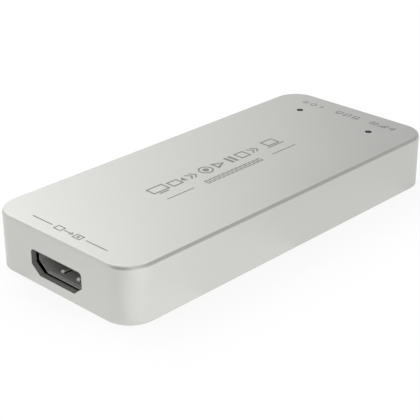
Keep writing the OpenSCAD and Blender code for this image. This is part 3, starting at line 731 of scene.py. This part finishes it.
def pause_mark(ink, y):
    """Two bars, for a pause."""
    for step in (-0.65, 0.65):
        ink.bar((ROW_X - 1.5, y + step), (ROW_X + 1.5, y + step), width=0.7)


def stop_mark(ink, y):
    """A square, for stopping."""
    ink.frame_line((ROW_X, y), half_x=1.45, half_y=1.45, width=LINE_WIDE)


def computer_mark(ink, y):
    """A plain open computer."""
    ink.frame_line((ROW_X - 0.35, y), half_x=1.4, half_y=1.9, width=LINE_WIDE)
    ink.bar((ROW_X + 1.57, y - 2.6), (ROW_X + 1.57, y + 2.6), width=LINE_WIDE)


def row_marks(ink):
    """A row of plain video marks along the middle, from a screen to a computer."""
    row = (
        (screen_mark, -17.9),
        (camera_mark, -12.6),
        (arrows_mark, -7.8),
        (record_mark, -4.0),
        (play_mark, 0.2),
        (pause_mark, 3.9),
        (stop_mark, 7.5),
        (arrows_mark, 11.6),
        (computer_mark, 17.0),
    )
    for mark, y in row:
        mark(ink, y)


def strip_marks(ink):
    """A strip of picture frames between two rules, beside the row."""
    for i in range(STRIP_FRAMES):
        y = (i - (STRIP_FRAMES - 1) / 2) * STRIP_PITCH
        ink.frame_line((STRIP_X, y), half_x=0.8, half_y=0.5, width=FINE_LINE)
    near, far = STRIP_RULE_Y
    for side in (-1, 1):
        ink.bar((STRIP_X, side * near), (STRIP_X, side * far), width=RULE_WIDE)


def port_marks(ink):
    """By the video socket, between two rules: a screen, an arrow and a box with a dot."""
    near, far = PORT_RULE_X
    for side in (-1, 1):
        ink.bar((side * near, PORT_Y), (side * far, PORT_Y), width=RULE_WIDE)
        ink.frame_line((side * PORT_SIGN_X, PORT_Y), half_x=1.1, half_y=0.8, width=FINE_LINE)
    ink.arrow((-1.3, PORT_Y), (1.2, PORT_Y), head=0.52, width=FINE_LINE)
    ink.dot((PORT_SIGN_X, PORT_Y), radius=0.32)


def glow_sign(ink, x):
    """A lit lamp: a dot with rays."""
    centre = (x, SIGNS_Y)
    ink.dot(centre, radius=0.32)
    for angle in range(0, 360, 45):
        ink.bar(on_circle(centre, 0.52, angle), on_circle(centre, 0.88, angle), width=0.18)


def power_sign(ink, x):
    """An open ring with a bar in the gap."""
    ink.arc((x, SIGNS_Y), radius=0.72, width=FINE_LINE, start=125, end=415)
    ink.bar((x, SIGNS_Y + 0.25), (x, SIGNS_Y + 1.05), width=FINE_LINE)


def bolt_sign(ink, x):
    """A flash of lightning."""
    half = [(0.2, 0.95), (-0.5, -0.15), (-0.06, -0.15)]
    outline = half + [(-a, -b) for a, b in half]
    ink.patch([(x + a, SIGNS_Y + b) for a, b in outline])


def screen_sign(ink, x):
    """A screen over its foot."""
    ink.frame_line((x, SIGNS_Y + 0.2), half_x=0.95, half_y=0.65, width=FINE_LINE)
    ink.bar((x - 0.5, SIGNS_Y - 0.8), (x + 0.5, SIGNS_Y - 0.8), width=FINE_LINE)


def swap_sign(ink, x):
    """Two opposite arrows."""
    for side in (-1, 1):
        at = x + side * 0.55
        ink.arrow((at, SIGNS_Y - side * 0.95), (at, SIGNS_Y + side * 1.05), head=0.45, width=FINE_LINE)


def computer_sign(ink, x):
    """An open computer."""
    ink.frame_line((x, SIGNS_Y + 0.2), half_x=0.8, half_y=0.6, width=FINE_LINE)
    ink.bar((x - 1.05, SIGNS_Y - 0.75), (x + 1.05, SIGNS_Y - 0.75), width=FINE_LINE)


def picture_sign(ink, x):
    """A picture that plays."""
    ink.frame_line((x, SIGNS_Y), half_x=1.0, half_y=0.8, width=FINE_LINE)
    ink.patch([(x - 0.3, SIGNS_Y - 0.4), (x + 0.4, SIGNS_Y), (x - 0.3, SIGNS_Y + 0.4)])


def level_sign(ink, x):
    """Four rising bars."""
    for i in range(4):
        at = x + (i - 1.5) * 0.6
        ink.bar((at, SIGNS_Y - 0.9), (at, SIGNS_Y - 0.4 + 0.45 * i), width=0.36)


def wave_sign(ink, x):
    """Three waves from a dot."""
    centre = (x - 0.75, SIGNS_Y)
    ink.dot(centre, radius=0.22)
    for radius in (0.6, 1.05, 1.5):
        ink.arc(centre, radius, width=FINE_LINE, start=-40, end=40)


def lamp_marks(ink):
    """By the lamps, three rows of signs: for power, for the link and for the picture."""
    rows = (
        (glow_sign, power_sign, bolt_sign),
        (screen_sign, swap_sign, computer_sign),
        (picture_sign, level_sign, wave_sign),
    )
    for middle, row in zip(SIGNS_X, rows):
        for sign, step in zip(row, (-SIGN_STEP, 0, SIGN_STEP)):
            sign(ink, middle + step)


def printed_marks():
    """All the print on the top, as one piece of thin ink."""
    ink = Print()
    row_marks(ink)
    strip_marks(ink)
    port_marks(ink)
    lamp_marks(ink)
    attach(mesh_piece("printed_marks", ink.form, printed_ink()), BODY)


# Floor, light and camera

def floor_finish():
    """A white floor: white to the eye, with the object's soft shadow, and plain white to other rays."""
    finish = Finish(bpy.data.materials.new("floor_white"))
    finish.tree.nodes.clear()
    glow = finish.node("ShaderNodeEmission", None, {"Color": opaque(WHITE), "Strength": FLOOR_GLOW})
    tone = finish.node("ShaderNodeBsdfDiffuse", None, {"Color": opaque((FLOOR_TONE,) * 3)})
    bounce = finish.node("ShaderNodeBsdfDiffuse", None, {"Color": opaque((FLOOR_BOUNCE,) * 3)})
    shown = finish.node("ShaderNodeAddShader", None, {0: glow, 1: tone})
    top = finish.node("ShaderNodeMixShader", None, {0: finish.seen(), 1: bounce, 2: shown})
    clear = finish.node("ShaderNodeBsdfTransparent")
    under = finish.node("ShaderNodeNewGeometry", output="Backfacing")
    both = finish.node("ShaderNodeMixShader", None, {0: under, 1: top, 2: clear})
    finish.node("ShaderNodeOutputMaterial", None, {"Surface": both})
    return finish.holder


def floor():
    """The plain pale floor under the box, seen only from above."""
    form = bmesh.new()
    bmesh.ops.create_grid(form, x_segments=FLOOR_STEPS, y_segments=FLOOR_STEPS, size=FLOOR_SIZE / 2)
    bmesh.ops.translate(form, verts=form.verts, vec=(0, 0, CAD_BOX[0][2] - FLOOR_DROP))
    mesh_piece("floor", form, floor_finish())


def studio_world():
    """White all round to the eye and in reflections, and a soft grey light for the rest."""
    finish = Finish(bpy.context.scene.world or bpy.data.worlds.new("studio"))
    bpy.context.scene.world = finish.holder
    finish.tree.nodes.clear()
    soft = finish.node("ShaderNodeBackground", None, {"Color": opaque(WHITE), "Strength": AMBIENT})
    white = finish.node("ShaderNodeBackground", None, {"Color": opaque(WHITE), "Strength": 1.0})
    both = finish.node("ShaderNodeMixShader", None, {0: finish.seen(), 1: soft, 2: white})
    finish.node("ShaderNodeOutputWorld", None, {"Surface": both})


def softbox(name, azimuth, elevation, distance, size, brightness):
    """A square soft lamp that looks at the box, with a brightness of 1 as bright as the white floor."""
    lamp = bpy.data.lights.new(name, "AREA")
    lamp.shape = "SQUARE"
    lamp.size = size
    lamp.energy = brightness * math.pi * size ** 2
    lamp.color = COOL_WHITE
    holder = bpy.data.objects.new(name, lamp)
    away = towards(azimuth, elevation)
    holder.location = away * distance
    holder.rotation_euler = away.to_track_quat("Z", "Y").to_euler()
    bpy.context.scene.collection.objects.link(holder)


def reflected_card(name, place, tone, colour=WHITE):
    """A card that only reflections see, to shape the white studio in the metal.

    place(u, v) gives its points for u and v from 0 to 1, and tone its brightness next to white.
    """
    shares = [i / CARD_STEPS for i in range(CARD_STEPS + 1)]
    form = bmesh.new()
    rows = [[form.verts.new(place(u, v)) for v in shares] for u in shares]
    for row, following in zip(rows, rows[1:]):
        for i in range(CARD_STEPS):
            form.faces.new((row[i], row[i + 1], following[i + 1], following[i]))
    finish = Finish(bpy.data.materials.new(name))
    finish.tree.nodes.clear()
    glow = finish.node("ShaderNodeEmission", None, {"Color": opaque(colour), "Strength": tone})
    finish.node("ShaderNodeOutputMaterial", None, {"Surface": glow})
    card = mesh_piece(name, form, finish.holder)
    card.visible_camera = False
    card.visible_diffuse = False
    card.visible_transmission = False
    card.visible_shadow = False


def wall_card(name, azimuths, elevations, tone, colour=WHITE):
    """A card that stands round the box, between two azimuths and two elevations, in degrees."""
    def place(u, v):
        return towards(between(azimuths, u), between(elevations, v)) * CARD_DISTANCE
    reflected_card(name, place, tone, colour)


def floor_card(name, across, along, tone):
    """A card that lies on the floor by the box, between two places in X and two in Y, in millimetres."""
    def place(u, v):
        return Vector((between(across, u), between(along, v), 0)) * MM
    reflected_card(name, place, tone)


def corner_card(name, tone):
    """A floor card that fills the square round the case's near corner."""
    centre = Vector((CASE_HIGH.x / MM - CASE_CORNER, CASE_CORNER - CASE_HIGH.y / MM, 0))

    def place(u, v):
        away = towards(90 * u, 0)
        square = (CASE_CORNER + FOOT_GAP) / max(away.x, -away.y)
        return (centre + away * between((CASE_CORNER + FOOT_GAP / 2, square), v)) * MM
    reflected_card(name, place, tone)


def between(ends, share):
    """A number part of the way from one end to the other."""
    return ends[0] + (ends[1] - ends[0]) * share


def towards(azimuth, elevation):
    """The unit direction at an azimuth from -Y, turning towards +X, and an elevation, in degrees."""
    turn = math.radians(azimuth)
    rise = math.radians(elevation)
    return Vector((math.sin(turn) * math.cos(rise), -math.cos(turn) * math.cos(rise), math.sin(rise)))


def photo_camera():
    """The camera where the photograph was taken from."""
    back = towards(VIEW_AZIMUTH, VIEW_ELEVATION)
    level = towards(VIEW_AZIMUTH + 90, 0)
    upright = back.cross(level)
    roll = math.radians(VIEW_ROLL)
    right = level * math.cos(roll) + upright * math.sin(roll)
    up = upright * math.cos(roll) - level * math.sin(roll)
    place = VIEW_TARGET + right * VIEW_SIDEWAYS + up * VIEW_UPWARDS + back * VIEW_DISTANCE
    turn = Matrix((right, up, back)).transposed().to_4x4()
    camera = bpy.data.cameras.new("photo_camera")
    camera.lens = FOCAL_LENGTH
    camera.sensor_width = SENSOR_WIDTH
    camera.clip_start = CLIP_START * MM
    holder = bpy.data.objects.new("photo_camera", camera)
    holder.matrix_world = Matrix.Translation(place * MM) @ turn
    bpy.context.scene.collection.objects.link(holder)
    bpy.context.scene.camera = holder


photo_camera()
dress_nodes()
eased("case_shell", "case_body", (at_rim, CASE_EASE), (at_opening, OPENING_EASE))
eased("video_port_bezel", "socket_liner", (anywhere, OPENING_EASE))
printed_marks()
floor()
studio_world()
softbox("left_softbox", azimuth=258, elevation=45, distance=0.8, size=0.50, brightness=1.56)
wall_card("front_card", azimuths=(345, 400), elevations=(0, 35), tone=0.18)
wall_card("near_right_card", azimuths=(40, 92), elevations=(0, 35), tone=0.84)
wall_card("right_card", azimuths=(92, 160), elevations=(0, 45), tone=0.46)
wall_card("back_card", azimuths=(160, 218), elevations=(0, 62), tone=0.52, colour=COOL_WHITE)
floor_card("left_bounce", across=(-60, -SIDE_FOOT), along=(-47, 47), tone=1.35)
floor_card("front_bounce", across=(-10, SIDE_FOOT), along=(-62, -END_FOOT), tone=1.04)
floor_card("outer_front_bounce", across=(-10, 35), along=(-110, -62), tone=0.95)
corner_card("foot_bounce", tone=1.12)
floor_card("corner_bounce", across=(SIDE_FOOT, 35), along=(-62, -28), tone=1.25)
floor_card("outer_corner_bounce", across=(35, 60), along=(-90, -28), tone=0.99)
floor_card("near_side_bounce", across=(SIDE_FOOT, 60), along=(-28, 0), tone=1.15)
floor_card("far_side_bounce", across=(SIDE_FOOT, 60), along=(0, 40), tone=1.04)
floor_card("outer_near_bounce", across=(60, 150), along=(-90, -10), tone=3.1)
floor_card("outer_far_bounce", across=(60, 150), along=(-10, 80), tone=0.81)

bpy.context.scene.view_settings.view_transform = "Standard"
